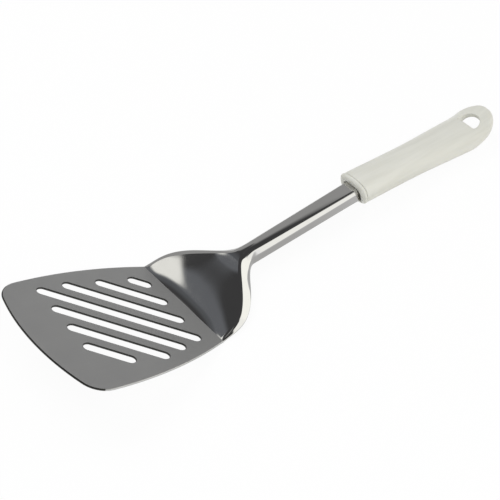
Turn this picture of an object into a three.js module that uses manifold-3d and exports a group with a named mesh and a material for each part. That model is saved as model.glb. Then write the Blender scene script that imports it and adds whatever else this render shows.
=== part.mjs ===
// Slotted kitchen turner: one steel pressing, a moulded grip and the collar at its mouth.
// Millimetres. It is drawn with the blade's upper face in the plane z = 0, the bend line along Y at x = 0,
// the blade towards -X and the grip towards +X. The last step lays it down as it rests on a table.
import * as THREE from "three";
import { mergeVertices } from "three/addons/utils/BufferGeometryUtils.js";
import Module from "manifold-3d";

const wasm = await Module();
wasm.setup();

// Sheet and blade
const SHEET = 1.2;
const BEND_WIDTH = 74;
const CORNER_WIDTH = 94.3;
const CORNER_REACH = 92.4;
const FRONT_BOW = 8.7;
const SIDE_BOW = 4.4;
const CORNER_RADIUS = 14.4;

const TIP_REACH = CORNER_REACH + FRONT_BOW;

// Slots: parallel and slanting, evenly spaced across the slot field, each ending at the edge of the field
const SLOT_COUNT = 7;
const SLOT_WIDTH = 6.4;
const SLOT_ANGLE = 48;
// Corners of the slot field, as shares of the blade's length and of half its width at the front corners
const SLOT_FIELD = [
  [0.071, 0.59],
  [0.724, 0.87],
  [0.769, -0.43],
  [0.584, -0.7],
  [0.382, -0.79],
  [0.112, -0.66],
];

// Shoulder: the sheet climbs from the bend line and narrows to the stem, with its sides turned down
const NECK_PITCH = 41;
const NECK_REACH = 29.5;
const NECK_EASE = 5;
const RIDGE_REACH = 34;
const FLANGE_REACH = 42;
const FLANGE_START = 2;
const HEEL_SLOPE = 0.12;
const HEEL_FADE = 2;
const NECK_DISH = 2.3;
const DISH_LEAD = 0.6;
const DISH_POWER = 2.6;
const NECK_ROUND = 3;
const RIDGE_POWER = 1.55;
const FLANGE_POWER = 1.8;
const DROP_POWER = 1.6;
const DROP_REACH = 33.5;

// Stem: an inverted channel that widens towards the grip
// Each side slopes out to a knee, then stands almost upright
const STEM_PITCH = 22.3;
const STEM_TOP_START = 7;
const STEM_TOP_END = 9.5;
const STEM_FOOT_START = 11.3;
const STEM_FOOT_END = 12.4;
const STEM_HEIGHT_START = 9.1;
const STEM_HEIGHT_END = 9;
const STEM_ROUND = 1;
const STEM_CROWN_START = 0.7;
const STEM_CROWN_END = 0.1;
const STEM_CROWN_REACH = 15;
// The knee as shares of the side's run out and of its height, and where it fades in along the shoulder
const KNEE_OUT = 0.93;
const KNEE_DOWN_START = 0.47;
const KNEE_DOWN_END = 0.3;
const KNEE_FROM = 24;
const KNEE_FADE = 28;
const MOUTH_REACH = 113.8;
const MOUTH_EASE = 6;
const TANG_LENGTH = 42;

// Grip
const GRIP_PITCH = 16.6;
const GRIP_RAISE = 1.1;
const GRIP_LENGTH = 113.8;
const GRIP_WIDTH_MOUTH = 22.6;
const GRIP_WIDTH_WAIST = 22;
const GRIP_WIDTH_TAIL = 26.5;
const GRIP_HEIGHT = 16.1;
const GRIP_SQUARENESS = 2.6;
const MOUTH_LEAN = 11;
const MOUTH_LEAN_FADE = 30;
const TAIL_SWEEP = 22.7;
const TAIL_LIFT = 4.7;
const TAIL_THICKNESS = 10;
const TAIL_EDGE = 2.5;
const NOSE_POWER = 1.95;

// Hang hole: half-moon shaped, straight towards the mouth, with a rounded rim above and a flare below
const HOLE_RADIUS = 6;
const HOLE_FLAT = 2.2;
const HOLE_CORNER = 2;
const HOLE_INSET = 15.6;
const HOLE_TILT = 25;
const HOLE_LAND = 4;
const HOLE_RIM = 1.8;
const HOLE_FLARE = 40;

// Collar
const COLLAR_WIDTH = 5;
const COLLAR_BEAD = 0.3;
const COLLAR_ROUND = 3;
const COLLAR_WALL = 2.8;
const COLLAR_LIP = 1.6;

// Clearances between pieces, with a wider gap beside the foot of the stem at the mouth
const CLEARANCE = 0.3;
const MOUTH_GAP = 1;
const MOUTH_RELIEF = 8;
const MOUTH_LEAD = 9;

// Sampling of curved shapes
const PROFILE_STEPS = 12;
const GRIP_STEPS = 40;

const radians = THREE.MathUtils.degToRad;
const lerp = THREE.MathUtils.lerp;
const clamp = THREE.MathUtils.clamp;

function smooth(u) {
  const t = clamp(u, 0, 1);
  return t * t * (3 - 2 * t);
}

// Closed solids from geometry and back
function solidOf(geometry) {
  const bare = geometry.clone();
  bare.deleteAttribute("normal");
  bare.deleteAttribute("uv");
  const merged = mergeVertices(bare, 1e-4);
  const mesh = new wasm.Mesh({
    numProp: 3,
    vertProperties: new Float32Array(merged.attributes.position.array),
    triVerts: new Uint32Array(merged.index.array),
  });
  return new wasm.Manifold(mesh);
}

function meshOf(name, solid, colour, metalness, roughness) {
  const made = solid.getMesh();
  const geometry = new THREE.BufferGeometry();
  geometry.setAttribute("position", new THREE.BufferAttribute(made.vertProperties, 3));
  geometry.setIndex(new THREE.BufferAttribute(made.triVerts, 1));
  geometry.computeVertexNormals();
  const material = new THREE.MeshStandardMaterial({ color: colour, metalness, roughness });
  const mesh = new THREE.Mesh(geometry, material);
  mesh.name = name;
  return mesh;
}

// Triangles that close a loop by joining its points in pairs, working in from the first and the last
function endCap(count) {
  const faces = [];
  for (let i = 0, k = count - 1; k - i >= 2; i++, k--) {
    faces.push([i, i + 1, k]);
    if (k - i > 2) faces.push([i + 1, k - 1, k]);
  }
  return faces;
}

// Skin over a row of closed loops of equal count, with both ends closed.
// Each loop runs counter-clockwise for an eye that looks back along the row from its far end.
function loft(loops) {
  const count = loops[0].length;
  const positions = loops.flat().flatMap((p) => [p.x, p.y, p.z]);
  const faces = [];
  for (let i = 0; i + 1 < loops.length; i++) {
    for (let j = 0; j < count; j++) {
      const a = i * count + j;
      const b = i * count + ((j + 1) % count);
      faces.push(a, b, b + count, a, b + count, a + count);
    }
  }
  const last = (loops.length - 1) * count;
  for (const [a, b, c] of endCap(count)) {
    faces.push(a, c, b);
    faces.push(last + a, last + b, last + c);
  }
  const geometry = new THREE.BufferGeometry();
  geometry.setAttribute("position", new THREE.Float32BufferAttribute(positions, 3));
  geometry.setIndex(faces);
  return geometry;
}

// Blade outline: bowed sides and front, with rounded corners between them
function arcThrough(from, to, bow) {
  const chord = to.clone().sub(from);
  const length = chord.length();
  const radius = (length * length) / (8 * bow) + bow / 2;
  const inward = new THREE.Vector2(-chord.y, chord.x).normalize();
  const centre = from.clone().add(to).multiplyScalar(0.5).addScaledVector(inward, radius - bow);
  return { centre, radius };
}

function arcPoints(centre, radius, from, to, steps) {
  const start = from.clone().sub(centre).angle();
  let sweep = to.clone().sub(centre).angle() - start;
  sweep -= 2 * Math.PI * Math.round(sweep / (2 * Math.PI));
  const points = [];
  for (let i = 0; i <= steps; i++) {
    const angle = start + (sweep * i) / steps;
    points.push(new THREE.Vector2(Math.cos(angle), Math.sin(angle)).multiplyScalar(radius).add(centre));
  }
  return points;
}

// The sheet's underside turns up this far behind the bend line
const bendFoot = SHEET * Math.tan(radians(NECK_PITCH) / 2);
const bendEnd = new THREE.Vector2(0, BEND_WIDTH / 2);
const corner = new THREE.Vector2(-CORNER_REACH, CORNER_WIDTH / 2);
const mirrored = (p) => new THREE.Vector2(p.x, -p.y);

function bladeHalf() {
  const side = arcThrough(bendEnd, corner, SIDE_BOW);
  const front = arcThrough(corner, mirrored(corner), FRONT_BOW);
  // The corner's circle touches both arcs from inside, so its centre is this far from theirs
  const reachSide = side.radius - CORNER_RADIUS;
  const reachFront = front.radius - CORNER_RADIUS;
  const between = front.centre.clone().sub(side.centre);
  const apart = between.length();
  const along = (apart * apart + reachSide * reachSide - reachFront * reachFront) / (2 * apart);
  const off = Math.sqrt(reachSide * reachSide - along * along);
  const unit = between.normalize();
  const normal = new THREE.Vector2(-unit.y, unit.x);
  const choices = [off, -off].map((d) =>
    side.centre.clone().addScaledVector(unit, along).addScaledVector(normal, d),
  );
  choices.sort((p, q) => p.distanceTo(corner) - q.distanceTo(corner));
  const centre = choices[0];
  const onSide = centre.clone().sub(side.centre).setLength(side.radius).add(side.centre);
  const onFront = centre.clone().sub(front.centre).setLength(front.radius).add(front.centre);
  const tip = new THREE.Vector2(-TIP_REACH, 0);
  return [
    ...arcPoints(side.centre, side.radius, bendEnd, onSide, 14),
    ...arcPoints(centre, CORNER_RADIUS, onSide, onFront, 9).slice(1),
    ...arcPoints(front.centre, front.radius, onFront, tip, 12).slice(1),
  ];
}

// One slot, cut off at both ends by the edges of the slot field
function slotHole(index) {
  const field = SLOT_FIELD.map(([u, v]) => new THREE.Vector2(-u * TIP_REACH, (v * CORNER_WIDTH) / 2));
  const angle = radians(SLOT_ANGLE);
  const along = new THREE.Vector2(-Math.cos(angle), Math.sin(angle));
  const across = new THREE.Vector2(-along.y, along.x);
  const reaches = field.map((p) => p.dot(across));
  const shift = lerp(Math.min(...reaches), Math.max(...reaches), (index + 0.5) / SLOT_COUNT);
  // Distances along the middle line at which it crosses the edges of the field
  const crossings = [];
  field.forEach((p, i) => {
    const q = field[(i + 1) % field.length];
    const a = p.dot(across) - shift;
    const b = q.dot(across) - shift;
    if (a * b < 0) crossings.push(p.clone().lerp(q, a / (a - b)).dot(along));
  });
  const round = SLOT_WIDTH / 2;
  const from = Math.min(...crossings) + round;
  const to = Math.max(...crossings) - round;
  const points = [];
  const steps = 8;
  for (const [end, turn] of [[to, 0], [from, Math.PI]]) {
    for (let i = 0; i <= steps; i++) {
      const a = turn + Math.PI * (i / steps - 0.5);
      const reach = end + round * Math.cos(a);
      const side = shift + round * Math.sin(a);
      points.push(along.clone().multiplyScalar(reach).addScaledVector(across, side));
    }
  }
  return new THREE.Path(points);
}

function bladePlate() {
  const half = bladeHalf();
  // The plate runs a little past the bend line, inside the foot of the shoulder
  const near = half.slice(0, -1).reverse().map(mirrored);
  const root = [new THREE.Vector2(bendFoot, -BEND_WIDTH / 2), new THREE.Vector2(bendFoot, BEND_WIDTH / 2)];
  const shape = new THREE.Shape([...half, ...near, ...root]);
  for (let i = 0; i < SLOT_COUNT; i++) shape.holes.push(slotHole(i));
  const plate = new THREE.ExtrudeGeometry(shape, { depth: SHEET, bevelEnabled: false });
  return plate.translate(0, 0, -SHEET);
}

// Side view of the shoulder, stem and tang: straight runs with eased knees between them
function easedRun(x, knee, before, after, ease) {
  // Height gained by bending from slope before to slope after around the knee
  const t = clamp((x - knee) / ease, -1, 1);
  const beyond = Math.max(0, x - knee - ease);
  return (after - before) * (ease * (t + 1) * (t + 1) * 0.25 + beyond);
}

const neckSlope = Math.tan(radians(NECK_PITCH));
const stemSlope = Math.tan(radians(STEM_PITCH));
const gripSlope = Math.tan(radians(GRIP_PITCH));
const TANG_END = MOUTH_REACH + TANG_LENGTH;

function ridgeHeight(x) {
  const neck = easedRun(x, NECK_REACH, neckSlope, stemSlope, NECK_EASE);
  const mouth = easedRun(x, MOUTH_REACH, stemSlope, gripSlope, MOUTH_EASE);
  // The sheet leaves the bend a little flatter than the shoulder's pitch
  const heelSag = HEEL_SLOPE * HEEL_FADE * (1 - Math.exp(-Math.max(x, 0) / HEEL_FADE));
  return neckSlope * x + neck + mouth - heelSag;
}

function stemPart(x) {
  return clamp((x - RIDGE_REACH) / (MOUTH_REACH - RIDGE_REACH), 0, 1);
}

function ridgeHalf(x) {
  const stem = lerp(STEM_TOP_START, STEM_TOP_END, stemPart(x)) / 2;
  const narrowing = smooth(Math.pow(Math.max(x, 0) / RIDGE_REACH, RIDGE_POWER));
  return lerp(BEND_WIDTH / 2 - FLANGE_START, stem, narrowing);
}

function flangeHalf(x) {
  const stem = lerp(STEM_FOOT_START, STEM_FOOT_END, stemPart(x)) / 2;
  const narrowing = smooth(Math.pow(Math.max(x, 0) / FLANGE_REACH, FLANGE_POWER));
  return lerp(BEND_WIDTH / 2, stem, narrowing);
}

function flangeDrop(x) {
  const stem = lerp(STEM_HEIGHT_START, STEM_HEIGHT_END, stemPart(x));
  const t = clamp(x / DROP_REACH, 0, 1);
  return stem * (1 - Math.pow(1 - t, DROP_POWER));
}

// Height of the top over the line between its two ridges, at a share of the way from the middle to a ridge
function topBulge(x, share) {
  const t = clamp(x / NECK_REACH, 0, 1);
  const dish = NECK_DISH * Math.sin(Math.PI * t * (1 + DISH_LEAD * (1 - t)));
  const rise = smooth((x - NECK_REACH) / STEM_CROWN_REACH);
  const crown = rise * lerp(STEM_CROWN_START, STEM_CROWN_END, stemPart(x));
  return crown * (1 - share ** 2) - dish * (1 - share ** DISH_POWER);
}

// Half of the outer section at one place along X, from the middle to the lower edge, grown by a clearance.
// The ridge grows sideways by no more than the common clearance, the foot by all of growSides.
function halfSection(x, grow, growSides) {
  const ridge = new THREE.Vector2(ridgeHalf(x) + Math.min(growSides, CLEARANCE), ridgeHeight(x) + grow);
  const edge = new THREE.Vector2(flangeHalf(x) + growSides, ridgeHeight(x) - flangeDrop(x) - grow);
  const bent = smooth((x - KNEE_FROM) / KNEE_FADE);
  const kneeDown = lerp(KNEE_DOWN_START, KNEE_DOWN_END, stemPart(x));
  const knee = new THREE.Vector2(
    lerp(ridge.x, edge.x, lerp(0.5, KNEE_OUT, bent)),
    lerp(ridge.y, edge.y, lerp(0.5, kneeDown, bent)),
  );
  const upper = knee.clone().sub(ridge);
  const shoulderRound = lerp(NECK_ROUND, STEM_ROUND, smooth((2 * x - RIDGE_REACH) / FLANGE_REACH));
  const round = Math.min(shoulderRound, 0.45 * ridge.x, 0.8 * upper.length());
  const points = [];
  const top = (y) => new THREE.Vector2(y, ridge.y + topBulge(x, y / ridge.x));
  const steps = PROFILE_STEPS / 2;
  for (let i = 0; i < steps; i++) points.push(top((ridge.x - round) * (i / steps)));
  const start = top(ridge.x - round);
  const outward = ridge.clone().sub(start).normalize();
  const downward = upper.clone().normalize();
  const finish = ridge.clone().addScaledVector(downward, start.distanceTo(ridge));
  // Handles of this length make the curve as good as a circular arc
  const turnAngle = Math.acos(clamp(outward.dot(downward), -1, 1));
  const handle = (start.distanceTo(ridge) * (4 / 3) * Math.tan(turnAngle / 4)) / Math.tan(turnAngle / 2);
  const turn = new THREE.CubicBezierCurve(
    start,
    start.clone().addScaledVector(outward, handle),
    finish.clone().addScaledVector(downward, -handle),
    finish,
  );
  points.push(...turn.getPoints(steps));
  points.push(knee, knee.clone().lerp(edge, 0.5), edge);
  return points;
}

function wholeSection(x, grow, growSides) {
  const half = halfSection(x, grow, growSides);
  const right = half.slice(1).reverse().map((p) => new THREE.Vector3(x, -p.x, p.y));
  const left = half.map((p) => new THREE.Vector3(x, p.x, p.y));
  return [...right, ...left];
}

// The sheet of the shoulder, stem and tang: the outer skin and a second one a sheet's thickness inside it
function channelStations() {
  const stations = [];
  const neckEnd = 1.07 * FLANGE_REACH;
  for (let i = 0; i <= 30; i++) stations.push(lerp(SHEET / 4, neckEnd, i / 30));
  for (let i = 1; i <= 5; i++) stations.push(lerp(neckEnd, MOUTH_REACH - MOUTH_EASE, i / 5));
  for (let i = 1; i <= 8; i++) stations.push(MOUTH_REACH + MOUTH_EASE * (i / 4 - 1));
  stations.push(TANG_END);
  return stations;
}

function channel() {
  const stations = channelStations();
  const step = SHEET / 24;
  const loops = stations.map((x, i) => {
    const here = wholeSection(x, 0, 0);
    const ahead = wholeSection(x + step, 0, 0);
    const behind = wholeSection(x - step, 0, 0);
    const inner = here.map((p, j) => {
      if (i === 0) return new THREE.Vector3(bendFoot, p.y, -0.99 * SHEET);
      const along = ahead[j].clone().sub(behind[j]);
      const next = here[Math.min(j + 1, here.length - 1)];
      const previous = here[Math.max(j - 1, 0)];
      const around = next.clone().sub(previous);
      const inward = around.cross(along).normalize();
      return p.clone().addScaledVector(inward, SHEET);
    });
    return [...here.reverse(), ...inner];
  });
  // The first loop is sunk into the blade's edge so that the two join
  const sunk = loops[0].map((p) => new THREE.Vector3(-0.8 * SHEET, 0.995 * p.y, 0.4 * p.z - 0.3 * SHEET));
  return loft([sunk, ...loops]);
}

// Grip: rounded sections along its own axis, which starts a little above the stem's middle at the mouth
const mouthDrop = STEM_HEIGHT_END / 2 - GRIP_RAISE;
const gripOrigin = new THREE.Vector3(MOUTH_REACH, 0, ridgeHeight(MOUTH_REACH) - mouthDrop);
const gripFrame = new THREE.Matrix4()
  .makeRotationY(-radians(GRIP_PITCH))
  .setPosition(gripOrigin);

function noseFade(s, length) {
  const t = clamp((s - (GRIP_LENGTH - length)) / length, 0, 1);
  return Math.pow(1 - Math.pow(t, NOSE_POWER), 1 / NOSE_POWER);
}

function gripHalfWidth(s) {
  const waist = 0.35 * GRIP_LENGTH;
  const tail = GRIP_LENGTH - GRIP_WIDTH_TAIL / 2;
  const width =
    s < waist
      ? lerp(GRIP_WIDTH_MOUTH, GRIP_WIDTH_WAIST, smooth(s / waist))
      : lerp(GRIP_WIDTH_WAIST, GRIP_WIDTH_TAIL, smooth((s - waist) / (tail - waist)));
  return (width / 2) * noseFade(s, GRIP_WIDTH_TAIL / 2);
}

// The tail turns up at the end, its underside more than its top
function gripTopAndBottom(s) {
  const u = clamp((s - (GRIP_LENGTH - TAIL_SWEEP)) / TAIL_SWEEP, 0, 1);
  const top = GRIP_HEIGHT / 2 + TAIL_LIFT * u * u;
  const bottom = lerp(-GRIP_HEIGHT / 2, GRIP_HEIGHT / 2 + TAIL_LIFT - TAIL_THICKNESS, smooth(u));
  const fade = noseFade(s, TAIL_EDGE);
  const middle = (top + bottom) / 2;
  const half = ((top - bottom) / 2) * fade;
  return [middle + half, middle - half];
}

// The mouth leans back towards its lower side, and the lean fades out along the grip
function mouthLean(s) {
  const fade = 1 - smooth((s - COLLAR_WIDTH - CLEARANCE) / MOUTH_LEAN_FADE);
  return Math.tan(radians(MOUTH_LEAN)) * fade;
}

function gripSection(s, grow) {
  const halfWidth = gripHalfWidth(s) + grow;
  const [top, bottom] = gripTopAndBottom(s);
  const middle = (top + bottom) / 2;
  const half = (top - bottom) / 2 + grow;
  const power = 2 / GRIP_SQUARENESS;
  const points = [];
  for (let i = 0; i < GRIP_STEPS; i++) {
    const angle = (2 * Math.PI * i) / GRIP_STEPS;
    const c = Math.cos(angle);
    const n = Math.sin(angle);
    const y = halfWidth * Math.sign(c) * Math.pow(Math.abs(c), power);
    const z = middle + half * Math.sign(n) * Math.pow(Math.abs(n), power);
    points.push(new THREE.Vector3(s - z * mouthLean(s), y, z).applyMatrix4(gripFrame));
  }
  return points;
}

function gripLoft(stations, growAt) {
  return solidOf(loft(stations.map((s) => gripSection(s, growAt(s)))));
}

// Room for the stem or tang, wider than it by a clearance, with the wider gap as far as relievedTo
function stemRoom(from, to, relievedTo) {
  const places = [...channelStations(), relievedTo, relievedTo + CLEARANCE];
  const inside = places.filter((x) => x > from && x < to);
  const stations = [from, ...inside.sort((a, b) => a - b), to];
  const loops = stations.map((x) => {
    const growSides = x <= relievedTo ? MOUTH_GAP : CLEARANCE;
    return wholeSection(x, CLEARANCE, growSides).reverse();
  });
  return solidOf(loft(loops));
}

// Cutter for the hang hole: half-moon loops stacked along its tilted axis
function hangHole() {
  const middle = GRIP_LENGTH - HOLE_INSET;
  const rimTop = gripTopAndBottom(middle)[0];
  const flare = Math.tan(radians(HOLE_FLARE));
  const holeFrame = new THREE.Matrix4()
    .makeRotationY(-radians(HOLE_TILT))
    .setPosition(middle, 0, rimTop - HOLE_RIM / 2)
    .premultiply(gripFrame);
  const level = (depth, grow) => {
    const points = [];
    for (let i = 0; i < GRIP_STEPS; i++) {
      const angle = (2 * Math.PI * i) / GRIP_STEPS;
      const round = (HOLE_RADIUS + grow) * Math.cos(angle);
      const flat = -HOLE_FLAT - grow;
      // The corners between the round and the flat are blended
      const blend = Math.max(HOLE_CORNER - Math.abs(round - flat), 0);
      const x = Math.max(round, flat) + (blend * blend) / (4 * HOLE_CORNER);
      const y = (HOLE_RADIUS + grow) * Math.sin(angle);
      points.push(new THREE.Vector3(x, y, -depth).applyMatrix4(holeFrame));
    }
    return points;
  };
  const loops = [level(HOLE_LAND + GRIP_HEIGHT, GRIP_HEIGHT * flare), level(HOLE_LAND, 0)];
  for (let i = 0; i <= 4; i++) {
    const angle = (Math.PI / 2) * (i / 4);
    loops.push(level(HOLE_RIM * (1 - Math.sin(angle)), HOLE_RIM * (1 - Math.cos(angle))));
  }
  loops.push(level(-GRIP_HEIGHT, HOLE_RIM));
  return solidOf(loft(loops));
}

function gripBody() {
  const shoulder = COLLAR_WIDTH + CLEARANCE;
  const stations = [];
  const straight = GRIP_LENGTH - GRIP_WIDTH_TAIL / 2;
  const sweepStart = GRIP_LENGTH - TAIL_SWEEP;
  for (let i = 0; i <= 12; i++) stations.push(lerp(shoulder, sweepStart, i / 12));
  for (let i = 1; i <= 3; i++) stations.push(lerp(sweepStart, straight, i / 3));
  for (let i = 1; i <= 12; i++) {
    stations.push(straight + (GRIP_WIDTH_TAIL / 2) * Math.sin((0.985 * Math.PI * i) / 24));
  }
  const outside = gripLoft(stations, () => 0);
  const spigotStart = COLLAR_LIP + CLEARANCE;
  const spigot = gripLoft([spigotStart, 1.4 * shoulder], () => -COLLAR_WALL - CLEARANCE);
  const socket = stemRoom(MOUTH_REACH - MOUTH_LEAD, TANG_END + SHEET, MOUTH_REACH + MOUTH_RELIEF);
  return outside.add(spigot).subtract(socket).subtract(hangHole());
}

function gripCollar() {
  const bead = (s) => {
    const t = clamp(1 - s / COLLAR_ROUND, 0, 1);
    const front = COLLAR_ROUND * (1 - Math.sqrt(1 - t * t));
    return COLLAR_BEAD * Math.sin((Math.PI * s) / COLLAR_WIDTH) - front;
  };
  const stations = [];
  for (let i = 0; i <= 5; i++) stations.push(COLLAR_ROUND * (1 - Math.cos((Math.PI * i) / 10)));
  for (let i = 1; i <= 5; i++) stations.push(lerp(COLLAR_ROUND, COLLAR_WIDTH, i / 5));
  const outside = gripLoft(stations, bead);
  const bore = gripLoft([COLLAR_LIP, 1.4 * COLLAR_WIDTH], () => -COLLAR_WALL);
  const mouth = stemRoom(MOUTH_REACH - MOUTH_LEAD, MOUTH_REACH + MOUTH_LEAD, MOUTH_REACH + MOUTH_LEAD);
  return outside.subtract(bore).subtract(mouth);
}

// Assembly
const steel = 0x8c8c8a;
const plastic = 0xe2e3da;
const pressing = solidOf(bladePlate()).add(solidOf(channel()));
const turner = new THREE.Group();
turner.name = "turner";
turner.add(meshOf("blade_stem", pressing, steel, 1, 0.3));
turner.add(meshOf("handle_body", gripBody(), plastic, 0, 0.45));
turner.add(meshOf("handle_collar", gripCollar(), plastic, 0, 0.45));

// Lay the turner down on its heel, the underside of the bend, and on the lowest part of the grip
const heel = new THREE.Vector3(bendFoot, 0, -SHEET);
const gripPoints = turner.getObjectByName("handle_body").geometry.attributes.position;
let restTilt = Math.PI / 2;
for (let i = 0; i < gripPoints.count; i++) {
  const reach = gripPoints.getX(i) - heel.x;
  const rise = gripPoints.getZ(i) - heel.z;
  restTilt = Math.min(restTilt, Math.atan2(rise, reach));
}
turner.rotation.y = restTilt;
turner.updateMatrixWorld(true);
const box = new THREE.Box3().setFromObject(turner, true);
turner.position.set(-(box.min.x + box.max.x) / 2, -(box.min.y + box.max.y) / 2, -box.min.z);
turner.updateMatrixWorld(true);

export default turner;
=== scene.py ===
from math import acos, atan2, cos, exp, pi, radians, sin, sqrt, tan

import bmesh
import bpy
from mathutils import Matrix, Vector, geometry


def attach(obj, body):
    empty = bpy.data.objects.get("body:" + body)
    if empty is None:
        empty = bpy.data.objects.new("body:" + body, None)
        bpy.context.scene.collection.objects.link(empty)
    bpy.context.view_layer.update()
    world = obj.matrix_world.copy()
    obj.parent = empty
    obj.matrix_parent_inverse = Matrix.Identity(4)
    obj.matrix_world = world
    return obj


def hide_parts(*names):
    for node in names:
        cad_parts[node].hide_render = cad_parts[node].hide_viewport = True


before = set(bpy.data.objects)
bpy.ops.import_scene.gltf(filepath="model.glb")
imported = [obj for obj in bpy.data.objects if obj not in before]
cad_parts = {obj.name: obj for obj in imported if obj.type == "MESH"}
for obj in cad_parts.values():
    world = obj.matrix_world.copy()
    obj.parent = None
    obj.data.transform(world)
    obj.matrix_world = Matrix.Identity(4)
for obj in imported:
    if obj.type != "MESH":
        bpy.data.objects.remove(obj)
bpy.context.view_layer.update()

print("frame loaded:", sorted(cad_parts))

# Shapes are drawn in mm as the tool is made: blade top in z = 0, bend line on x = 0, grip towards +X.
# toTable lays them down in metres as the turner rests on the table.
mm = 0.001
rest = {"tilt": 20.5099, "bendAt": (-72.6578, 0.0, 1.2811)}
toTable = (Matrix.Translation(Vector(rest["bendAt"]) * mm)
           @ Matrix.Rotation(radians(rest["tilt"]), 4, "Y") @ Matrix.Scale(mm, 4))


def clamp(value, low=0.0, high=1.0):
    return max(low, min(high, value))


def lerp(a, b, t):
    return a + (b - a) * t


def smooth(u):
    t = clamp(u)
    return t * t * (3 - 2 * t)


# even places after start, up to and with end
def spread(start, end, count):
    return [lerp(start, end, i / count) for i in range(1, count + 1)]


def toLinear(hexColour):
    parts = [int(hexColour[i:i + 2], 16) / 255 for i in (1, 3, 5)]
    return tuple(c / 12.92 if c <= 0.04045 else ((c + 0.055) / 1.055) ** 2.4 for c in parts) + (1.0,)


# adds one node: settings are its own properties, wires are socket values or links
def addNode(tree, kind, wires=None, **settings):
    node = tree.nodes.new(kind)
    for name, value in settings.items():
        setattr(node, name, value)
    for name, value in (wires or {}).items():
        if isinstance(value, bpy.types.NodeSocket):
            tree.links.new(value, node.inputs[name])
        else:
            node.inputs[name].default_value = value
    return node


def newMaterial(name):
    material = bpy.data.materials.new(name)
    material.use_nodes = True
    material.node_tree.nodes.clear()
    return material, material.node_tree


def pieceFrom(name, mesh, materials, node):
    piece = bpy.data.objects.new(name, mesh)
    bpy.context.scene.collection.objects.link(piece)
    for material in materials:
        mesh.materials.append(material)
    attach(piece, "root")
    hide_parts(node)
    print("piece made:", name, len(mesh.polygons), "faces")


# closed skin over a row of loops with the same count of points, both ends capped
def skinOver(name, loops):
    shape = bmesh.new()
    strip = [[shape.verts.new(toTable @ point) for point in loop] for loop in loops]
    count = len(strip[0])
    for row, nextRow in zip(strip, strip[1:]):
        for j in range(count):
            k = (j + 1) % count
            shape.faces.new((row[j], row[k], nextRow[k], nextRow[j]))
    shape.faces.new(strip[0])
    shape.faces.new(strip[-1])
    bmesh.ops.recalc_face_normals(shape, faces=shape.faces)
    mesh = bpy.data.meshes.new(name)
    shape.to_mesh(mesh)
    shape.free()
    solid = bpy.data.objects.new(name, mesh)
    bpy.context.scene.collection.objects.link(solid)
    return solid


# joins and cuts solids, then re-meshes the result finely so that every moulded edge comes out soft
def moulded(solid, steps, voxel, relax):
    for operation, other in steps:
        cut = solid.modifiers.new("cut", "BOOLEAN")
        cut.operation = operation
        cut.solver = "EXACT"
        cut.object = other
    remesh = solid.modifiers.new("remesh", "REMESH")
    remesh.mode = "VOXEL"
    remesh.voxel_size = voxel * mm
    soften = solid.modifiers.new("soften", "SMOOTH")
    soften.factor = 0.5
    soften.iterations = relax
    evaluated = solid.evaluated_get(bpy.context.evaluated_depsgraph_get())
    mesh = bpy.data.meshes.new_from_object(evaluated)
    for used in [solid] + [other for _, other in steps]:
        bpy.data.objects.remove(used)
    for face in mesh.polygons:
        face.use_smooth = True
    return mesh


# The pressing: blade, shoulder, stem and hidden tang are one sheet of steel.
sheet = {"thickness": 1.2, "slotEdge": 0.3, "edgeSteps": 8, "weld": 1e-4, "crease": 0.25}
blade = {"bendWidth": 74, "cornerWidth": 94.3, "cornerReach": 92.4, "frontBow": 8.7, "sideBow": 4.4,
         "cornerRadius": 14.4, "arcSteps": (36, 24, 30), "frontFacing": 0.4}
slots = {"count": 7, "width": 6.1, "angle": 48, "endSteps": 16, "edgeSteps": 4,
         "field": [(0.071, 0.59), (0.724, 0.87), (0.769, -0.43),  # shares of blade length and half width
                   (0.584, -0.7), (0.382, -0.79), (0.112, -0.66)]}
neck = {"pitch": 41, "reach": 29.5, "ease": 5, "heel": 0.12, "heelFade": 2, "ridgeReach": 34,
        "ridgePower": 1.55, "flangeReach": 42, "flangeStart": 2, "flangePower": 1.8, "dropReach": 33.5,
        "dropPower": 1.6, "dish": 2.3, "dishLead": 0.6, "dishPower": 2.6, "kneeFrom": 24, "kneeFade": 28,
        "cornerReach": 3, "crisp": 24, "crispLead": 4, "plainFrom": 18, "plainFade": 22}
stem = {"pitch": 22.3, "topStart": 7.0, "topEnd": 9.5, "footStart": 11.3, "footEnd": 12.4,
        "heightStart": 9.1, "heightEnd": 9.0, "kneeStart": 0.47, "kneeEnd": 0.30, "kneeOut": 0.93,
        "kneeReach": 1.2, "cornerReach": 1.0, "crownStart": 0.7, "crownEnd": 0.1, "crownReach": 15,
        "mouth": 113.8, "mouthEase": 6, "tang": 42}
# rows of the mesh along the sheet, closer together at the bend, and points across half of a section
rows = {"shoulder": 110, "shoulderEnd": 1.07, "crowding": 1.15, "stem": 14, "mouth": 16, "probe": 0.05,
        "top": 25, "topGap": 0.15, "ridge": 14, "knee": 6, "flange": 4}
bendFoot = sheet["thickness"] * tan(radians(neck["pitch"]) / 2)  # where the underside turns up
tipReach = blade["cornerReach"] + blade["frontBow"]
tangEnd = stem["mouth"] + stem["tang"]


def arcThrough(start, end, bow):
    chord = end - start
    radius = chord.length_squared / (8 * bow) + bow / 2
    inward = Vector((-chord.y, chord.x)).normalized()
    return (start + end) / 2 + inward * (radius - bow), radius


def arcPoints(centre, radius, start, end, steps):
    first = atan2(start.y - centre.y, start.x - centre.x)
    sweep = atan2(end.y - centre.y, end.x - centre.x) - first
    sweep -= 2 * pi * round(sweep / (2 * pi))
    turns = [first + sweep * i / steps for i in range(steps + 1)]
    outward = [Vector((cos(a), sin(a))) for a in turns]
    return [centre + radius * n for n in outward], outward


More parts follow.
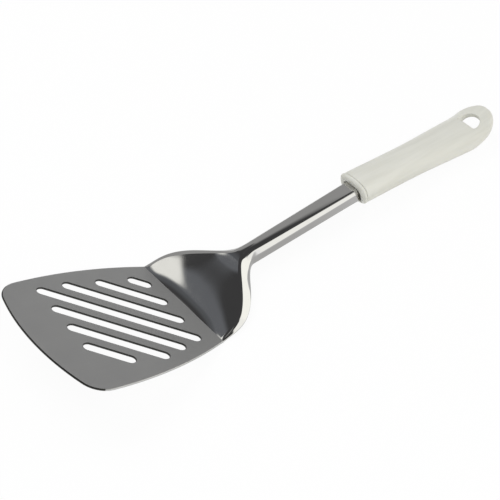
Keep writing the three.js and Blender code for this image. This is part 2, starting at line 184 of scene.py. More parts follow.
# half the blade's outline from the bend to the tip, with the outward direction at each point
def bladeHalf():
    bendEnd = Vector((0, blade["bendWidth"] / 2))
    corner = Vector((-blade["cornerReach"], blade["cornerWidth"] / 2))
    sideCentre, sideRadius = arcThrough(bendEnd, corner, blade["sideBow"])
    frontCentre, frontRadius = arcThrough(corner, Vector((corner.x, -corner.y)), blade["frontBow"])
    reachSide = sideRadius - blade["cornerRadius"]
    reachFront = frontRadius - blade["cornerRadius"]
    between = frontCentre - sideCentre
    along = (between.length_squared + reachSide ** 2 - reachFront ** 2) / (2 * between.length)
    off = sqrt(reachSide ** 2 - along ** 2)
    unit = between.normalized()
    choices = [sideCentre + unit * along + Vector((-unit.y, unit.x)) * d for d in (off, -off)]
    centre = min(choices, key=lambda c: (c - corner).length)
    onSide = sideCentre + (centre - sideCentre).normalized() * sideRadius
    onFront = frontCentre + (centre - frontCentre).normalized() * frontRadius
    arcs = [(sideCentre, sideRadius, bendEnd, onSide), (centre, blade["cornerRadius"], onSide, onFront),
            (frontCentre, frontRadius, onFront, Vector((-tipReach, 0)))]
    points, outward = [], []
    for arc, steps in zip(arcs, blade["arcSteps"]):
        p, n = arcPoints(*arc, steps)
        points += p[1 if points else 0:]
        outward += n[1 if outward else 0:]
    return points, outward


# middle line of a slot: the centres of its two round ends
def slotLine(index):
    field = [Vector((-u * tipReach, v * blade["cornerWidth"] / 2)) for u, v in slots["field"]]
    angle = radians(slots["angle"])
    along = Vector((-cos(angle), sin(angle)))
    across = Vector((-along.y, along.x))
    reaches = [p.dot(across) for p in field]
    shift = lerp(min(reaches), max(reaches), (index + 0.5) / slots["count"])
    crossings = []
    for p, q in zip(field, field[1:] + field[:1]):
        a, b = p.dot(across) - shift, q.dot(across) - shift
        if a * b < 0:
            crossings.append(p.lerp(q, a / (a - b)).dot(along))
    half = slots["width"] / 2
    return [along * end + across * shift for end in (min(crossings) + half, max(crossings) - half)]


def slotLoop(index, grow):
    start, end = slotLine(index)
    along = (end - start).normalized()
    across = Vector((-along.y, along.x))
    radius = slots["width"] / 2 + grow
    points = []
    for centre, turn in ((end, 0), (start, pi)):
        for i in range(slots["endSteps"] + 1):
            a = turn + pi * (i / slots["endSteps"] - 0.5)
            points.append(centre + along * radius * cos(a) + across * radius * sin(a))
    return points


# what a bend of the middle line adds to its height, eased in and out around the knee
def easedRun(x, knee, before, after, ease):
    t = clamp((x - knee) / ease, -1, 1)
    return (after - before) * (ease * (t + 1) ** 2 * 0.25 + max(0, x - knee - ease))


def ridgeHeight(x):
    slopes = [tan(radians(p["pitch"])) for p in (neck, stem, grip)]
    heel = neck["heel"] * neck["heelFade"] * (1 - exp(-max(x, 0) / neck["heelFade"]))
    return (slopes[0] * x + easedRun(x, neck["reach"], slopes[0], slopes[1], neck["ease"])
            + easedRun(x, stem["mouth"], slopes[1], slopes[2], stem["mouthEase"]) - heel)


# rounded corner between two straight runs, as good as an arc
def roundedCorner(start, inward, finish, onward, steps):
    turn = acos(clamp(inward.dot(onward), -1, 1))
    reach = (finish - start).length / (2 * max(cos(turn / 2), 0.05))
    handle = reach * (4 / 3) * tan(turn / 4) / tan(turn / 2) if turn > 1e-4 else reach * 2 / 3
    points = []
    for i in range(steps + 1):
        t = i / steps
        points.append(start * (1 - t) ** 3 + (start + inward * handle) * 3 * t * (1 - t) ** 2
                      + (finish - onward * handle) * 3 * t * t * (1 - t) + finish * t ** 3)
    return points


def stemShare(x):
    return clamp((x - neck["ridgeReach"]) / (stem["mouth"] - neck["ridgeReach"]))


# ridge, knee and lower edge of half the outer section, before they are rounded
def sectionCorners(x, grow, growSides):
    part, bendHalf = stemShare(x), blade["bendWidth"] / 2
    stemHalf = lerp(stem["topStart"], stem["topEnd"], part) / 2
    footHalf = lerp(stem["footStart"], stem["footEnd"], part) / 2
    ridgeShare = smooth((max(x, 0) / neck["ridgeReach"]) ** neck["ridgePower"])
    flangeShare = smooth((max(x, 0) / neck["flangeReach"]) ** neck["flangePower"])
    ridgeY = lerp(bendHalf - neck["flangeStart"], stemHalf, ridgeShare) + min(growSides, gap["clear"])
    edgeY = lerp(bendHalf, footHalf, flangeShare) + growSides
    drop = (lerp(stem["heightStart"], stem["heightEnd"], part)
            * (1 - (1 - clamp(x / neck["dropReach"])) ** neck["dropPower"]))
    ridge = Vector((ridgeY, ridgeHeight(x) + grow))
    edge = Vector((edgeY, ridgeHeight(x) - drop - grow))
    bent = smooth((x - neck["kneeFrom"]) / neck["kneeFade"])  # the knee fades in along the shoulder
    kneeDown = lerp(0.5, lerp(stem["kneeStart"], stem["kneeEnd"], part), bent)
    kneeOut = lerp(0.5, stem["kneeOut"], bent)
    return ridge, Vector((lerp(ridgeY, edgeY, kneeOut), lerp(ridge.y, edge.y, kneeDown))), edge


# half of the outer section at one place along the sheet, from the middle to the lower edge
def halfSection(x, grow, growSides, lip):
    ridge, knee, edge = sectionCorners(x, grow, growSides)
    upper, lower = knee - ridge, edge - knee
    edge -= lower * (lip / lower.length)
    t = clamp(x / neck["reach"])
    dish = neck["dish"] * sin(pi * t * (1 + neck["dishLead"] * (1 - t)))
    crown = (lerp(stem["crownStart"], stem["crownEnd"], stemShare(x))
             * smooth((x - neck["reach"]) / stem["crownReach"]))

    def top(y):
        share = y / ridge.x
        return Vector((y, ridge.y + crown * (1 - share ** 2) - dish * (1 - share ** neck["dishPower"])))
    plain = smooth((x - neck["plainFrom"]) / neck["plainFade"])  # the stem's ridge is a plain rounding
    radius = min(lerp(neck["cornerReach"], stem["cornerReach"], plain), 0.45 * ridge.x, 0.8 * upper.length)
    last = ridge.x - radius - rows["topGap"]
    points = [top(last * i / rows["top"]) for i in range(rows["top"] + 1)]
    start = top(ridge.x - radius)
    crisp = -radians(neck["crisp"]) * smooth(x / neck["crispLead"]) * (1 - plain)
    inward = (ridge - start).normalized()
    inward.rotate(Matrix.Rotation(crisp, 2))
    down, out = upper.normalized(), lower.normalized()
    points += roundedCorner(start, inward, ridge + down * radius, down, rows["ridge"])
    reach = min(stem["kneeReach"], 0.18 * upper.length, 0.4 * (edge - knee).length)
    turn = roundedCorner(knee - down * reach, down, knee + out * reach, out, rows["knee"])
    flange = [turn[-1].lerp(edge, i / rows["flange"]) for i in range(1, rows["flange"] + 1)]
    return points + [points[-1].lerp(turn[0], 0.5)] + turn + flange


def wholeSection(x, grow=0.0, growSides=0.0, lip=0.0):
    half = halfSection(x, grow, growSides, lip)
    return [Vector((x, -p.x, p.y)) for p in reversed(half[1:])] + [Vector((x, p.x, p.y)) for p in half]


# half-round edge of the sheet between its two skins
def lipBetween(outer, inner, away):
    middle, half = (outer + inner) / 2, (outer - inner) / 2
    turns = [pi * i / sheet["edgeSteps"] for i in range(1, sheet["edgeSteps"])]
    return [middle + half * cos(a) + away * half.length * sin(a) for a in turns]


def channelPlaces():
    neckEnd, count = rows["shoulderEnd"] * neck["flangeReach"], rows["shoulder"]
    easeStart, easeEnd = stem["mouth"] - stem["mouthEase"], stem["mouth"] + stem["mouthEase"]
    places = [0.0] + [neckEnd * (i / count) ** rows["crowding"] for i in range(1, count + 1)]
    places += spread(neckEnd, easeStart, rows["stem"]) + spread(easeStart, easeEnd, rows["mouth"])
    return places + [tangEnd]


# outer skin, lip, inner skin and lip at each place along the shoulder, stem and tang
def channelLoops():
    thick, probe = sheet["thickness"], rows["probe"]
    loops = []
    for x in channelPlaces():
        behind, outer, ahead = (wholeSection(x + step, lip=thick / 2) for step in (-probe, 0, probe))
        inner = []
        for j, p in enumerate(outer):
            around = outer[min(j + 1, len(outer) - 1)] - outer[max(j - 1, 0)]
            inward = around.cross(ahead[j] - behind[j]).normalized()
            inner.append(Vector((bendFoot, p.y, -thick)) if x == 0 else p + inward * thick)
        lips = [lipBetween(outer[end], inner[end], (outer[end] - outer[before]).normalized())
                for end, before in ((-1, -2), (0, 1))]
        loops.append((outer, lips[0], inner, lips[1]))
    return loops


# flat fill of an outline with the slots left open: a triangle with all its corners on one slot lies in it
def flatFill(shape, outline, height):
    points, edges, owner = [], [], []
    openings = [slotLoop(i, sheet["slotEdge"]) for i in range(slots["count"])]
    for number, loop in enumerate([outline] + openings):
        first = len(points)
        points += loop
        owner += [number] * len(loop)
        edges += [(first + i, first + (i + 1) % len(loop)) for i in range(len(loop))]
    flat = geometry.delaunay_2d_cdt(points, edges, [], 1, 1e-7)
    verts = [shape.verts.new((p.x, p.y, height)) for p in flat[0]]
    owners = [owner[ids[0]] for ids in flat[3]]
    faces = []
    for triangle in flat[2]:
        touched = {owners[i] for i in triangle}
        if touched == {0} or len(touched) > 1:
            faces.append(shape.faces.new([verts[i] for i in triangle]))
    return faces


def stripFaces(shape, loops, closed=False):
    strip = [[shape.verts.new(p) for p in loop] for loop in loops]
    faces = []
    for row, nextRow in zip(strip, strip[1:]):
        for j in range(len(row) if closed else len(row) - 1):
            k = (j + 1) % len(row)
            faces.append(shape.faces.new((row[j], row[k], nextRow[k], nextRow[j])))
    return faces


# outlines of the blade's two flats inside its rounded edge, and the outward direction at each point
def bladeRims(outer, inner):
    half, outward = bladeHalf()
    rim = [p - n * sheet["thickness"] / 2 for p, n in zip(half, outward)]
    rim[0] = Vector((0, outer[-1].y))
    rim += [Vector((p.x, -p.y)) for p in reversed(rim[:-1])]
    away = outward + [Vector((n.x, -n.y)) for n in reversed(outward[:-1])]
    away[0], away[-1] = Vector((0, 1)), Vector((0, -1))
    topRim = [Vector((p.x, p.y, 0)) for p in rim]
    lowRim = [Vector((p.x, p.y, -sheet["thickness"])) for p in rim]
    lowRim[0], lowRim[-1] = inner[-1].copy(), inner[0].copy()
    return topRim, lowRim, away


# wall of a slot, rounded over at its top and bottom edges
def slotWall(shape, index):
    edge, levels = sheet["slotEdge"], []
    for i in range(slots["edgeSteps"] + 1):
        a = pi / 2 * i / slots["edgeSteps"]
        levels.append((edge * (1 - sin(a)), -edge * (1 - cos(a))))
    levels += [(grow, -sheet["thickness"] - z) for grow, z in reversed(levels)]
    loops = [[Vector((p.x, p.y, z)) for p in slotLoop(index, grow)] for grow, z in levels]
    return stripFaces(shape, loops, closed=True)


# the blade with its slots: returns the two flats, and the punched faces of the slots and the front edge,
# which get painted shade
def addBlade(shape, outer, inner):
    topRim, lowRim, away = bladeRims(outer, inner)
    flats = flatFill(shape, [p.xy for p in topRim + outer[1:-1]], 0)
    flats += flatFill(shape, [p.xy for p in lowRim + inner[1:-1]], -sheet["thickness"])
    edges = [[t] + lipBetween(t, b, Vector((a.x, a.y, 0))) + [b] for t, b, a in zip(topRim, lowRim, away)]
    around = len(edges[0]) - 1
    # only edge faces turned to the front get the painted shade, the side edges stay satin
    punched = {face for i, face in enumerate(stripFaces(shape, edges))
               if away[i // around].x < -blade["frontFacing"]}
    for i in range(slots["count"]):
        punched.update(slotWall(shape, i))
    return flats, punched


# the shoulder, stem and tang: returns the outer skin
def addChannel(shape, loops):
    skin = stripFaces(shape, [outer for outer, _, _, _ in loops])
    stripFaces(shape, [[outer[-1]] + lip + [inner[-1]] for outer, lip, inner, _ in loops])
    stripFaces(shape, [inner for _, _, inner, _ in loops])
    stripFaces(shape, [[outer[0]] + lip + [inner[0]] for outer, _, inner, lip in loops])
    outer, rightLip, inner, leftLip = loops[-1]
    stripFaces(shape, [outer, inner])  # end of the tang
    for end, lip in ((-1, rightLip), (0, leftLip)):
        shape.faces.new([shape.verts.new(p) for p in [outer[end]] + lip + [inner[end]]])
    return set(skin)


# the flats stay flat up to their edges, and the shoulder's ridge stays crisp
def sharpenEdges(shape, flats, skin):
    for edge in shape.edges:
        onSkin = len(edge.link_faces) == 2 and all(f in skin for f in edge.link_faces)
        roundFlat = len({f in flats for f in edge.link_faces}) == 2
        if roundFlat or (onSkin and edge.calc_face_angle() > sheet["crease"]):
            edge.smooth = False


def pressedSheet():
    shape = bmesh.new()
    loops = channelLoops()
    flats, punched = addBlade(shape, loops[0][0], loops[0][2])
    bladeFaces = set(shape.faces)
    skin = addChannel(shape, loops)
    for face in shape.faces:
        face.smooth = True
        face.material_index = 2 if face in punched else 0 if face in bladeFaces else 1
    bmesh.ops.remove_doubles(shape, verts=shape.verts, dist=sheet["weld"])
    bmesh.ops.recalc_face_normals(shape, faces=shape.faces)
    sharpenEdges(shape, {f for f in flats if f.is_valid}, skin)
    print("pressing closed, open edges:", sum(1 for e in shape.edges if len(e.link_faces) != 2))
    bmesh.ops.transform(shape, matrix=toTable, verts=shape.verts)
    mesh = bpy.data.meshes.new("steel_pressing")
    shape.to_mesh(mesh)
    shape.free()
    return mesh


# The grip and its collar, along s from the mouth to the tail, with the room that they leave for the steel.
grip = {"pitch": 16.6, "raise": 1.1, "length": 113.8, "widthMouth": 22.6, "widthWaist": 22, "waistAt": 0.35,
        "widthTail": 26.5, "height": 16.1, "squareness": 2.6, "lean": 11, "leanFade": 30, "tailSweep": 22.7,
        "tailLift": 4.7, "tailThickness": 10, "tailEdge": 2.5, "nosePower": 1.95, "noseEnd": 0.992,
        "around": 120, "along": 50, "noseSteps": 26, "voxel": 0.4, "relax": 6}
hole = {"radius": 6, "flat": 2.2, "corner": 2, "inset": 15.6, "tilt": 25, "land": 4, "rim": 1.8, "flare": 40,
        "rimSteps": 8}
collar = {"width": 2.4, "bead": 0.3, "round": 2, "drop": 2.8, "wall": 2.8, "lip": 1.2, "overrun": 1.4,
          "roundSteps": 14, "beadSteps": 12, "voxel": 0.25, "relax": 5}
gap = {"clear": 0.3, "line": 0.3, "top": 0.12, "mouth": 1.4, "relief": 8, "runOut": 0.3, "lead": 9,
       "steps": 24}
mouthDrop = stem["heightEnd"] / 2 - grip["raise"]
gripFrame = (Matrix.Translation((stem["mouth"], 0, ridgeHeight(stem["mouth"]) - mouthDrop))
             @ Matrix.Rotation(-radians(grip["pitch"]), 4, "Y"))


def noseFade(s, length):
    t = clamp((s - (grip["length"] - length)) / length)
    return (1 - t ** grip["nosePower"]) ** (1 / grip["nosePower"])


def gripTopAndBottom(s):
    u = clamp((s - (grip["length"] - grip["tailSweep"])) / grip["tailSweep"])
    top = grip["height"] / 2 + grip["tailLift"] * u * u
    tailBottom = grip["height"] / 2 + grip["tailLift"] - grip["tailThickness"]
    bottom = lerp(-grip["height"] / 2, tailBottom, smooth(u))
    middle, half = (top + bottom) / 2, (top - bottom) / 2 * noseFade(s, grip["tailEdge"])
    return middle + half, middle - half


# rounded-square section of the grip, whose top leans forward at the mouth
def gripSection(s, grow):
    waist, tail = grip["waistAt"] * grip["length"], grip["length"] - grip["widthTail"] / 2
    if s < waist:
        width = lerp(grip["widthMouth"], grip["widthWaist"], smooth(s / waist))
    else:
        width = lerp(grip["widthWaist"], grip["widthTail"], smooth((s - waist) / (tail - waist)))
    halfWidth = width / 2 * noseFade(s, grip["widthTail"] / 2) + grow
    top, bottom = gripTopAndBottom(s)
    middle, half = (top + bottom) / 2, (top - bottom) / 2 + grow
    power = 2 / grip["squareness"]
    upright = smooth((s - collar["width"] - gap["clear"]) / grip["leanFade"])
    lean = tan(radians(grip["lean"])) * (1 - upright)
    points = []
    for i in range(grip["around"]):
        c, n = cos(2 * pi * i / grip["around"]), sin(2 * pi * i / grip["around"])
        y = halfWidth * (1 if c > 0 else -1) * abs(c) ** power
        z = middle + half * (1 if n > 0 else -1) * abs(n) ** power
        points.append(gripFrame @ Vector((s - z * lean, y, z)))
    return points


# room for the stem or tang as far as end, with a wider gap beside its foot at the mouth
def stemRoom(name, end):
    start, relieved = stem["mouth"] - gap["lead"], stem["mouth"] + gap["relief"]
    loops = []
    for x in sorted([start] + spread(start, end, gap["steps"]) + [relieved, relieved + gap["runOut"]]):
        above, beside = ("top", "mouth") if x <= relieved else ("clear", "clear")
        loops.append(wholeSection(x, gap[above], gap[beside]))
    return skinOver(name, loops)


# half-moon hole through the tail, rounded at its upper rim and flared below
def hangHole():
    middle = grip["length"] - hole["inset"]
    rimHeight = gripTopAndBottom(middle)[0] - hole["rim"] / 2
    holeFrame = (gripFrame @ Matrix.Translation((middle, 0, rimHeight))
                 @ Matrix.Rotation(-radians(hole["tilt"]), 4, "Y"))

    def level(depth, grow):
        points = []
        for i in range(grip["around"]):
            a = 2 * pi * i / grip["around"]
            x, limit = (hole["radius"] + grow) * cos(a), -hole["flat"] - grow
            blend = max(hole["corner"] - abs(x - limit), 0) / hole["corner"]
            x = max(x, limit) + blend * blend * hole["corner"] / 4
            points.append(holeFrame @ Vector((x, (hole["radius"] + grow) * sin(a), -depth)))
        return points
    loops = [level(hole["land"] + grip["height"], grip["height"] * tan(radians(hole["flare"]))),
             level(hole["land"], 0)]
    for i in range(hole["rimSteps"] + 1):
        a = pi / 2 * i / hole["rimSteps"]
        loops.append(level(hole["rim"] * (1 - sin(a)), hole["rim"] * (1 - cos(a))))
    return skinOver("hole", loops + [level(-grip["height"], hole["rim"])])


def gripMoulding():
    shoulder, nose = collar["width"] + gap["line"], grip["widthTail"] / 2
    straight = grip["length"] - nose
    places = [shoulder] + spread(shoulder, straight, grip["along"])
    for i in range(1, grip["noseSteps"] + 1):  # noseEnd stops just short of a point
        places.append(straight + nose * sin(grip["noseEnd"] * pi / 2 * i / grip["noseSteps"]))
    body = skinOver("body", [gripSection(s, 0) for s in places])
    spigotEnds = (collar["lip"] + gap["clear"], collar["overrun"] * shoulder)
    spigot = skinOver("spigot", [gripSection(s, -collar["wall"] - gap["clear"]) for s in spigotEnds])
    socket = stemRoom("socket", tangEnd + sheet["thickness"])
    steps = [("UNION", spigot), ("DIFFERENCE", socket), ("DIFFERENCE", hangHole())]
    return moulded(body, steps, grip["voxel"], grip["relax"])


def gripCollar():
    def bead(s):
        t = clamp(1 - s / collar["round"])
        return collar["bead"] * sin(pi * s / collar["width"]) - collar["drop"] * (1 - sqrt(1 - t * t))
    turns = [pi / 2 * i / collar["roundSteps"] for i in range(collar["roundSteps"] + 1)]
    places = [collar["round"] * (1 - cos(a)) for a in turns]
    places += spread(collar["round"], collar["width"], collar["beadSteps"])
    ring = skinOver("ring", [gripSection(s, bead(s)) for s in places])
    boreEnds = (collar["lip"], collar["overrun"] * collar["width"])
    bore = skinOver("bore", [gripSection(s, -collar["wall"]) for s in boreEnds])
    room = stemRoom("room", stem["mouth"] + gap["lead"])
    steps = [("DIFFERENCE", bore), ("DIFFERENCE", room)]
    return moulded(ring, steps, collar["voxel"], collar["relax"])


# Brush lines, punch marks and spark texture are usually under 0.1 mm wide. Their grain widths here are drawn
# coarser, so that they show.
# Satin stainless steel, brushed along the blade: grey, with soft reflections drawn out across the grain.
satinSteel = {"colour": "#c6c6c5", "worn": "#bababa", "roughness": (0.36, 0.46), "grainWidth": 0.35,
              "grainLength": 26, "cloud": 22, "bump": 0.12}
# Stainless steel as the punch leaves it: dull, and darker as painted shade, so the slots and the front edge
# read as dark lines.
punchedSteelShaded = {"colour": "#525250", "worn": "#444442", "roughness": (0.42, 0.55), "grainWidth": 0.3,
                "grainLength": 2, "cloud": 6, "bump": 0.2}
# Polished stainless steel of the pressed shoulder and stem: mirror-like, with the faint ripple of the press.
polishedSteel = {"colour": "#d2d1cf", "worn": "#cac9c7", "roughness": (0.04, 0.08), "grainWidth": 0.5,
                 "grainLength": 18, "cloud": 9, "bump": 0.02}
# Polypropylene, moulded in a fine spark-eroded tool: off-white and satin, light goes a little way in, and
# faint paler marks run along the grip where the melt flowed.
mouldedPlastic = {"colour": "#e3e3db", "shade": "#dadad1", "roughness": (0.34, 0.44), "ior": 1.49,
                  "grainWidth": 0.45, "flowWidth": 5, "flowLength": 60, "flowEdges": (0.35, 0.65),
                  "bump": 0.05, "depth": 3, "letsIn": 0.15, "depthByColour": (1.0, 0.95, 0.8)}
bumpDepth = 0.1
noiseRange = {"From Min": 0.3, "From Max": 0.7}  # where nearly all of a noise pattern lies


def steelMaterial(name, finish):
    material, tree = newMaterial(name)
    place = addNode(tree, "ShaderNodeTexCoord")
    along = addNode(tree, "ShaderNodeMapping", {"Vector": place.outputs["Object"],
                                                "Rotation": (0, -radians(rest["tilt"]), 0)})
    width, length = 1 / (finish["grainWidth"] * mm), 1 / (finish["grainLength"] * mm)
    stretch = addNode(tree, "ShaderNodeMapping", {"Vector": along.outputs[0],
                                                  "Scale": (length, width, width)})
    grain = addNode(tree, "ShaderNodeTexNoise", {"Vector": stretch.outputs[0], "Scale": 1.0, "Detail": 4.0})
    cloud = addNode(tree, "ShaderNodeTexNoise", {"Vector": place.outputs["Object"], "Detail": 3.0,
                                                 "Scale": 1 / (finish["cloud"] * mm)})
    tone = addNode(tree, "ShaderNodeMix", {"Factor": cloud.outputs["Fac"], 6: toLinear(finish["colour"]),
                                           7: toLinear(finish["worn"])}, data_type="RGBA")
    least, most = finish["roughness"]
    rough = addNode(tree, "ShaderNodeMapRange", {"Value": grain.outputs["Fac"], **noiseRange,
                                                 "To Min": least, "To Max": most})
    ripple = addNode(tree, "ShaderNodeBump", {"Height": grain.outputs["Fac"], "Strength": finish["bump"],
                                              "Distance": bumpDepth * mm})
    shader = addNode(tree, "ShaderNodeBsdfPrincipled", {"Base Color": tone.outputs[2], "Metallic": 1.0,
                                                        "Roughness": rough.outputs[0],
                                                        "Normal": ripple.outputs[0]})
    addNode(tree, "ShaderNodeOutputMaterial", {"Surface": shader.outputs[0]})
    return material


def plasticMaterial(name, finish):
    material, tree = newMaterial(name)
    place = addNode(tree, "ShaderNodeTexCoord")
    grain = addNode(tree, "ShaderNodeTexNoise", {"Vector": place.outputs["Object"], "Detail": 2.0,
                                                 "Scale": 1 / (finish["grainWidth"] * mm)})
    width, length = 1 / (finish["flowWidth"] * mm), 1 / (finish["flowLength"] * mm)
    stretch = addNode(tree, "ShaderNodeMapping", {"Vector": place.outputs["Object"],
                                                  "Scale": (length, width, width)})
    flow = addNode(tree, "ShaderNodeTexNoise", {"Vector": stretch.outputs[0], "Scale": 1.0, "Detail": 3.0})
    edges = finish["flowEdges"]
    band = addNode(tree, "ShaderNodeMapRange", {"Value": flow.outputs["Fac"], "From Min": edges[0],
                                                "From Max": edges[1]})
    tone = addNode(tree, "ShaderNodeMix", {"Factor": band.outputs[0], 6: toLinear(finish["colour"]),
                                           7: toLinear(finish["shade"])}, data_type="RGBA")
    least, most = finish["roughness"]
    rough = addNode(tree, "ShaderNodeMapRange", {"Value": flow.outputs["Fac"], **noiseRange,
                                                 "To Min": least, "To Max": most})
    texture = addNode(tree, "ShaderNodeBump", {"Height": grain.outputs["Fac"], "Strength": finish["bump"],
                                               "Distance": bumpDepth * mm})
    shader = addNode(tree, "ShaderNodeBsdfPrincipled", {"Base Color": tone.outputs[2], "IOR": finish["ior"],
                                                        "Roughness": rough.outputs[0],
                                                        "Normal": texture.outputs[0],
                                                        "Subsurface Weight": finish["letsIn"],
                                                        "Subsurface Radius": finish["depthByColour"],
                                                        "Subsurface Scale": finish["depth"] * mm})
    addNode(tree, "ShaderNodeOutputMaterial", {"Surface": shader.outputs[0]})
    return material


satin = steelMaterial("stainless_steel_satin_brushed", satinSteel)
polished = steelMaterial("stainless_steel_polished", polishedSteel)
# punched edges: dull steel, painted darker as shade
punchedEdgeShaded = steelMaterial("stainless_steel_punched_edge_painted_shade", punchedSteelShaded)
plastic = plasticMaterial("polypropylene_moulded", mouldedPlastic)
print("materials made")

pieceFrom("steel_pressing", pressedSheet(), [satin, polished, punchedEdgeShaded], "blade_stem")
pieceFrom("grip_moulding", gripMoulding(), [plastic], "handle_body")
pieceFrom("grip_collar", gripCollar(), [plastic], "handle_collar")

# The studio, in metres. The floor is white to the camera, apart from a small share that keeps the shadow, and
# in the steel's reflections it glows with a painted shadow, greyer near the turner, and brighter than white
# farther out.
floor = {"size": 16.0, "seen": 0.93, "mirrored": (0.56, 1.25), "between": (0.02, 0.3)}
dome = {"radius": 6.0, "colour": "#3a3a3b", "gain": 1.5}
ambient = 0.58
# What the steel reflects round the dark dome, in degrees: from and to in azimuth and elevation, soft edges of
# both, and how far the two elevations rise per degree of azimuth from the middle of the card.
cards = {
    "paleHorizon": {"colour": "#f2f2ee", "az": (-220, 220), "el": (-95, 25), "soft": (10, 12), "rise": 0},
    "rightCard": {"colour": "#fafaf4", "az": (-45, 8), "el": (-95, 50), "soft": (10, 8), "rise": 0},
    "lowCard": {"colour": "#f2f2ee", "az": (-82, -36), "el": (-95, 33), "soft": (8, 8), "rise": 0},
    "backWall": {"colour": "#8c8c8a", "az": (146, 220), "el": (-95, 95), "soft": (16, 16), "rise": 0},
    "frontWall": {"colour": "#8c8c8a", "az": (-220, -100), "el": (-95, 95), "soft": (16, 16), "rise": 0},
    "greyWall": {"colour": "#8d8d8d", "az": (2, 97), "el": (-95, 46), "soft": (8, 6), "rise": 0},
    "greyCorner": {"colour": "#8d8d8d", "az": (2, 55), "el": (-95, 52), "soft": (6, 11), "rise": 0},
    "greyRear": {"colour": "#8d8d8d", "az": (74, 92), "el": (-95, 49), "soft": (6, 3), "rise": 0},
    "dimCorner": {"colour": "#505255", "az": (70, 95), "el": (46, 66), "soft": (14, 4), "rise": 0},
    "dimCeiling": {"colour": "#5e6064", "az": (82, 119), "el": (48, 66), "soft": (8, 5), "rise": 0.2},
    "softbox": {"colour": "#e4e4e0", "az": (88, 131), "el": (57.3, 63), "soft": (10, 2), "rise": 0},
}
# level is what a white face towards the lamp would show of it
lamps = {
    "key": {"az": -105, "el": 50, "far": 1.4, "size": 0.9, "level": 0.22, "colour": "#ffffff"},
    "fill": {"az": -60, "el": 14, "far": 1.4, "size": 0.7, "level": 0.09, "colour": "#fff6e0"},
    "back": {"az": 105, "el": 58, "far": 1.4, "size": 0.9, "level": 0.26, "colour": "#ffffff"},
}
# the camera's place in mm, and its angles in degrees, as matched to the photograph
view = {"at": (-377.968, -441.615, 576.117), "azimuth": -38.7027, "elevation": 44.8853, "roll": -0.3402,
        "angle": 20.2302, "near": 10}
white = (1.0, 1.0, 1.0, 1.0)


def stageObject(name, shape, material):
    mesh = bpy.data.meshes.new(name)
    shape.to_mesh(mesh)
    shape.free()
    mesh.materials.append(material)
    stand = bpy.data.objects.new(name, mesh)
    bpy.context.scene.collection.objects.link(stand)
    return stand


def studioFloor():
    material, tree = newMaterial("studio_floor")
    path = addNode(tree, "ShaderNodeLightPath")
    seen = addNode(tree, "ShaderNodeMath", {0: path.outputs["Is Camera Ray"], 1: floor["seen"]},
                   operation="MULTIPLY")
    passed = addNode(tree, "ShaderNodeMath", {0: path.outputs["Is Transmission Ray"], 1: floor["seen"],
                                              2: seen.outputs[0]}, operation="MULTIPLY_ADD")
    share = addNode(tree, "ShaderNodeMath", {0: path.outputs["Is Glossy Ray"], 1: passed.outputs[0]},
                    operation="MAXIMUM")
    place = addNode(tree, "ShaderNodeTexCoord")
    away = addNode(tree, "ShaderNodeVectorMath", {0: place.outputs["Object"]}, operation="LENGTH")
    (near, far), (dim, bright) = floor["between"], floor["mirrored"]
    # what the steel reflects of the floor: painted shadow near the turner, painted glow brighter than white
    # far off
    mirrored = addNode(tree, "ShaderNodeMapRange", {"Value": away.outputs["Value"], "From Min": near,
                                                    "From Max": far, "To Min": dim, "To Max": bright})
    level = addNode(tree, "ShaderNodeMapRange", {"Value": path.outputs["Is Glossy Ray"], "To Min": 1.0,
                                                 "To Max": mirrored.outputs[0]})
    paint = addNode(tree, "ShaderNodeBsdfDiffuse", {"Color": white})
    glow = addNode(tree, "ShaderNodeEmission", {"Strength": level.outputs[0]})
    both = addNode(tree, "ShaderNodeMixShader", {0: share.outputs[0], 1: paint.outputs[0],
                                                 2: glow.outputs[0]})
    addNode(tree, "ShaderNodeOutputMaterial", {"Surface": both.outputs[0]})
    shape = bmesh.new()
    bmesh.ops.create_grid(shape, x_segments=1, y_segments=1, size=floor["size"] / 2)
    stageObject("studio_floor", shape, material)


# 1 inside a card and 0 outside it, with soft edges
def cardMask(tree, card, azimuth, elevation):
    level, shift = elevation, card["rise"] * sum(card["az"]) / 2
    if card["rise"]:
        level = addNode(tree, "ShaderNodeMath", {0: azimuth.outputs[0], 1: -card["rise"],
                                                 2: elevation.outputs[0]}, operation="MULTIPLY_ADD")
    mask = None
    for angle, ends, blur in ((azimuth, card["az"], card["soft"][0]),
                              (level, [e - shift for e in card["el"]], card["soft"][1])):
        soft = radians(blur) / 2
        for end, before, after in ((radians(ends[0]), 0.0, 1.0), (radians(ends[1]), 1.0, 0.0)):
            side = addNode(tree, "ShaderNodeMapRange", {"Value": angle.outputs[0], "From Min": end - soft,
                                                        "From Max": end + soft, "To Min": before,
                                                        "To Max": after}, interpolation_type="SMOOTHSTEP")
            mask = side if mask is None else addNode(
                tree, "ShaderNodeMath", {0: mask.outputs[0], 1: side.outputs[0]}, operation="MULTIPLY")
    return mask


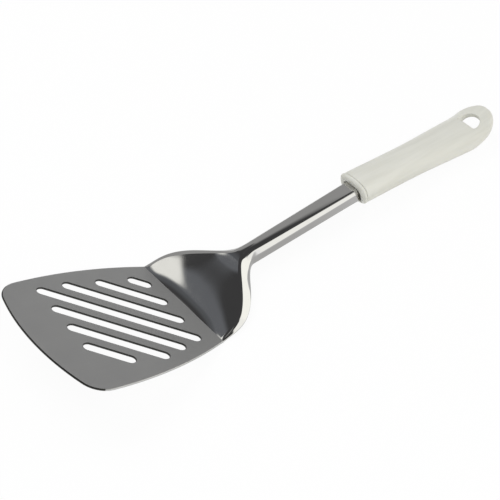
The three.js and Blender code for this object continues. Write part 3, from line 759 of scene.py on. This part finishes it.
def studioSurround():
    material, tree = newMaterial("studio_surround")
    place = addNode(tree, "ShaderNodeTexCoord")
    unit = addNode(tree, "ShaderNodeVectorMath", {0: place.outputs["Object"]}, operation="NORMALIZE")
    axes = addNode(tree, "ShaderNodeSeparateXYZ", {0: unit.outputs[0]})
    azimuth = addNode(tree, "ShaderNodeMath", {0: axes.outputs["Y"], 1: axes.outputs["X"]},
                      operation="ARCTAN2")
    elevation = addNode(tree, "ShaderNodeMath", {0: axes.outputs["Z"]}, operation="ARCSINE")
    under = toLinear(dome["colour"])
    for card in cards.values():  # each card lies over the ones before it
        mask = cardMask(tree, card, azimuth, elevation)
        layer = addNode(tree, "ShaderNodeMix", {"Factor": mask.outputs[0], 6: under,
                                                7: toLinear(card["colour"])}, data_type="RGBA")
        under = layer.outputs[2]
    glow = addNode(tree, "ShaderNodeEmission", {"Color": under, "Strength": dome["gain"]})
    addNode(tree, "ShaderNodeOutputMaterial", {"Surface": glow.outputs[0]})
    shape = bmesh.new()
    bmesh.ops.create_icosphere(shape, subdivisions=5, radius=dome["radius"])
    shell = stageObject("studio_surround", shape, material)
    for kind in ("camera", "diffuse", "transmission", "volume_scatter", "shadow"):
        setattr(shell, "visible_" + kind, False)  # only mirror-like reflections see it


def studioWorld():
    world = bpy.data.worlds.new("studio")
    bpy.context.scene.world = world
    world.use_nodes = True
    tree = world.node_tree
    tree.nodes.clear()
    path = addNode(tree, "ShaderNodeLightPath")
    seen = addNode(tree, "ShaderNodeMath", {0: path.outputs["Is Camera Ray"],
                                            1: path.outputs["Is Glossy Ray"]}, operation="MAXIMUM")
    shown = addNode(tree, "ShaderNodeMath", {0: seen.outputs[0], 1: path.outputs["Is Transmission Ray"]},
                    operation="MAXIMUM")
    level = addNode(tree, "ShaderNodeMapRange", {"Value": shown.outputs[0], "To Min": ambient, "To Max": 1.0})
    sky = addNode(tree, "ShaderNodeBackground", {"Color": white, "Strength": level.outputs[0]})
    addNode(tree, "ShaderNodeOutputWorld", {"Surface": sky.outputs[0]})


def studioLamps():
    for name, lamp in lamps.items():
        light = bpy.data.lights.new(name, "AREA")
        light.size = lamp["size"]
        light.energy = lamp["level"] * (pi * lamp["far"]) ** 2
        light.color = toLinear(lamp["colour"])[:3]
        az, el = radians(lamp["az"]), radians(lamp["el"])
        direction = Vector((cos(el) * cos(az), cos(el) * sin(az), sin(el)))
        stand = bpy.data.objects.new(name, light)
        stand.location = direction * lamp["far"]
        stand.rotation_euler = direction.to_track_quat("Z", "Y").to_euler()
        stand.visible_glossy = False  # the surround draws what the steel reflects
        bpy.context.scene.collection.objects.link(stand)


def photoCamera():
    az, el, roll = (radians(view[name]) for name in ("azimuth", "elevation", "roll"))
    back = Vector((sin(az) * cos(el), -cos(az) * cos(el), sin(el)))
    level = Vector((cos(az), sin(az), 0))
    right = level * cos(roll) + back.cross(level) * sin(roll)
    turn = Matrix((right, back.cross(right), back)).transposed()
    camera = bpy.data.cameras.new("photo_camera")
    camera.sensor_fit = "HORIZONTAL"
    camera.angle = radians(view["angle"])
    camera.clip_start = view["near"] * mm
    eye = bpy.data.objects.new("photo_camera", camera)
    eye.matrix_world = Matrix.Translation(Vector(view["at"]) * mm) @ turn.to_4x4()
    bpy.context.scene.collection.objects.link(eye)
    bpy.context.scene.camera = eye


studioFloor()
studioSurround()
studioWorld()
studioLamps()
photoCamera()
bpy.context.scene.view_settings.view_transform = "Standard"
print("studio set")
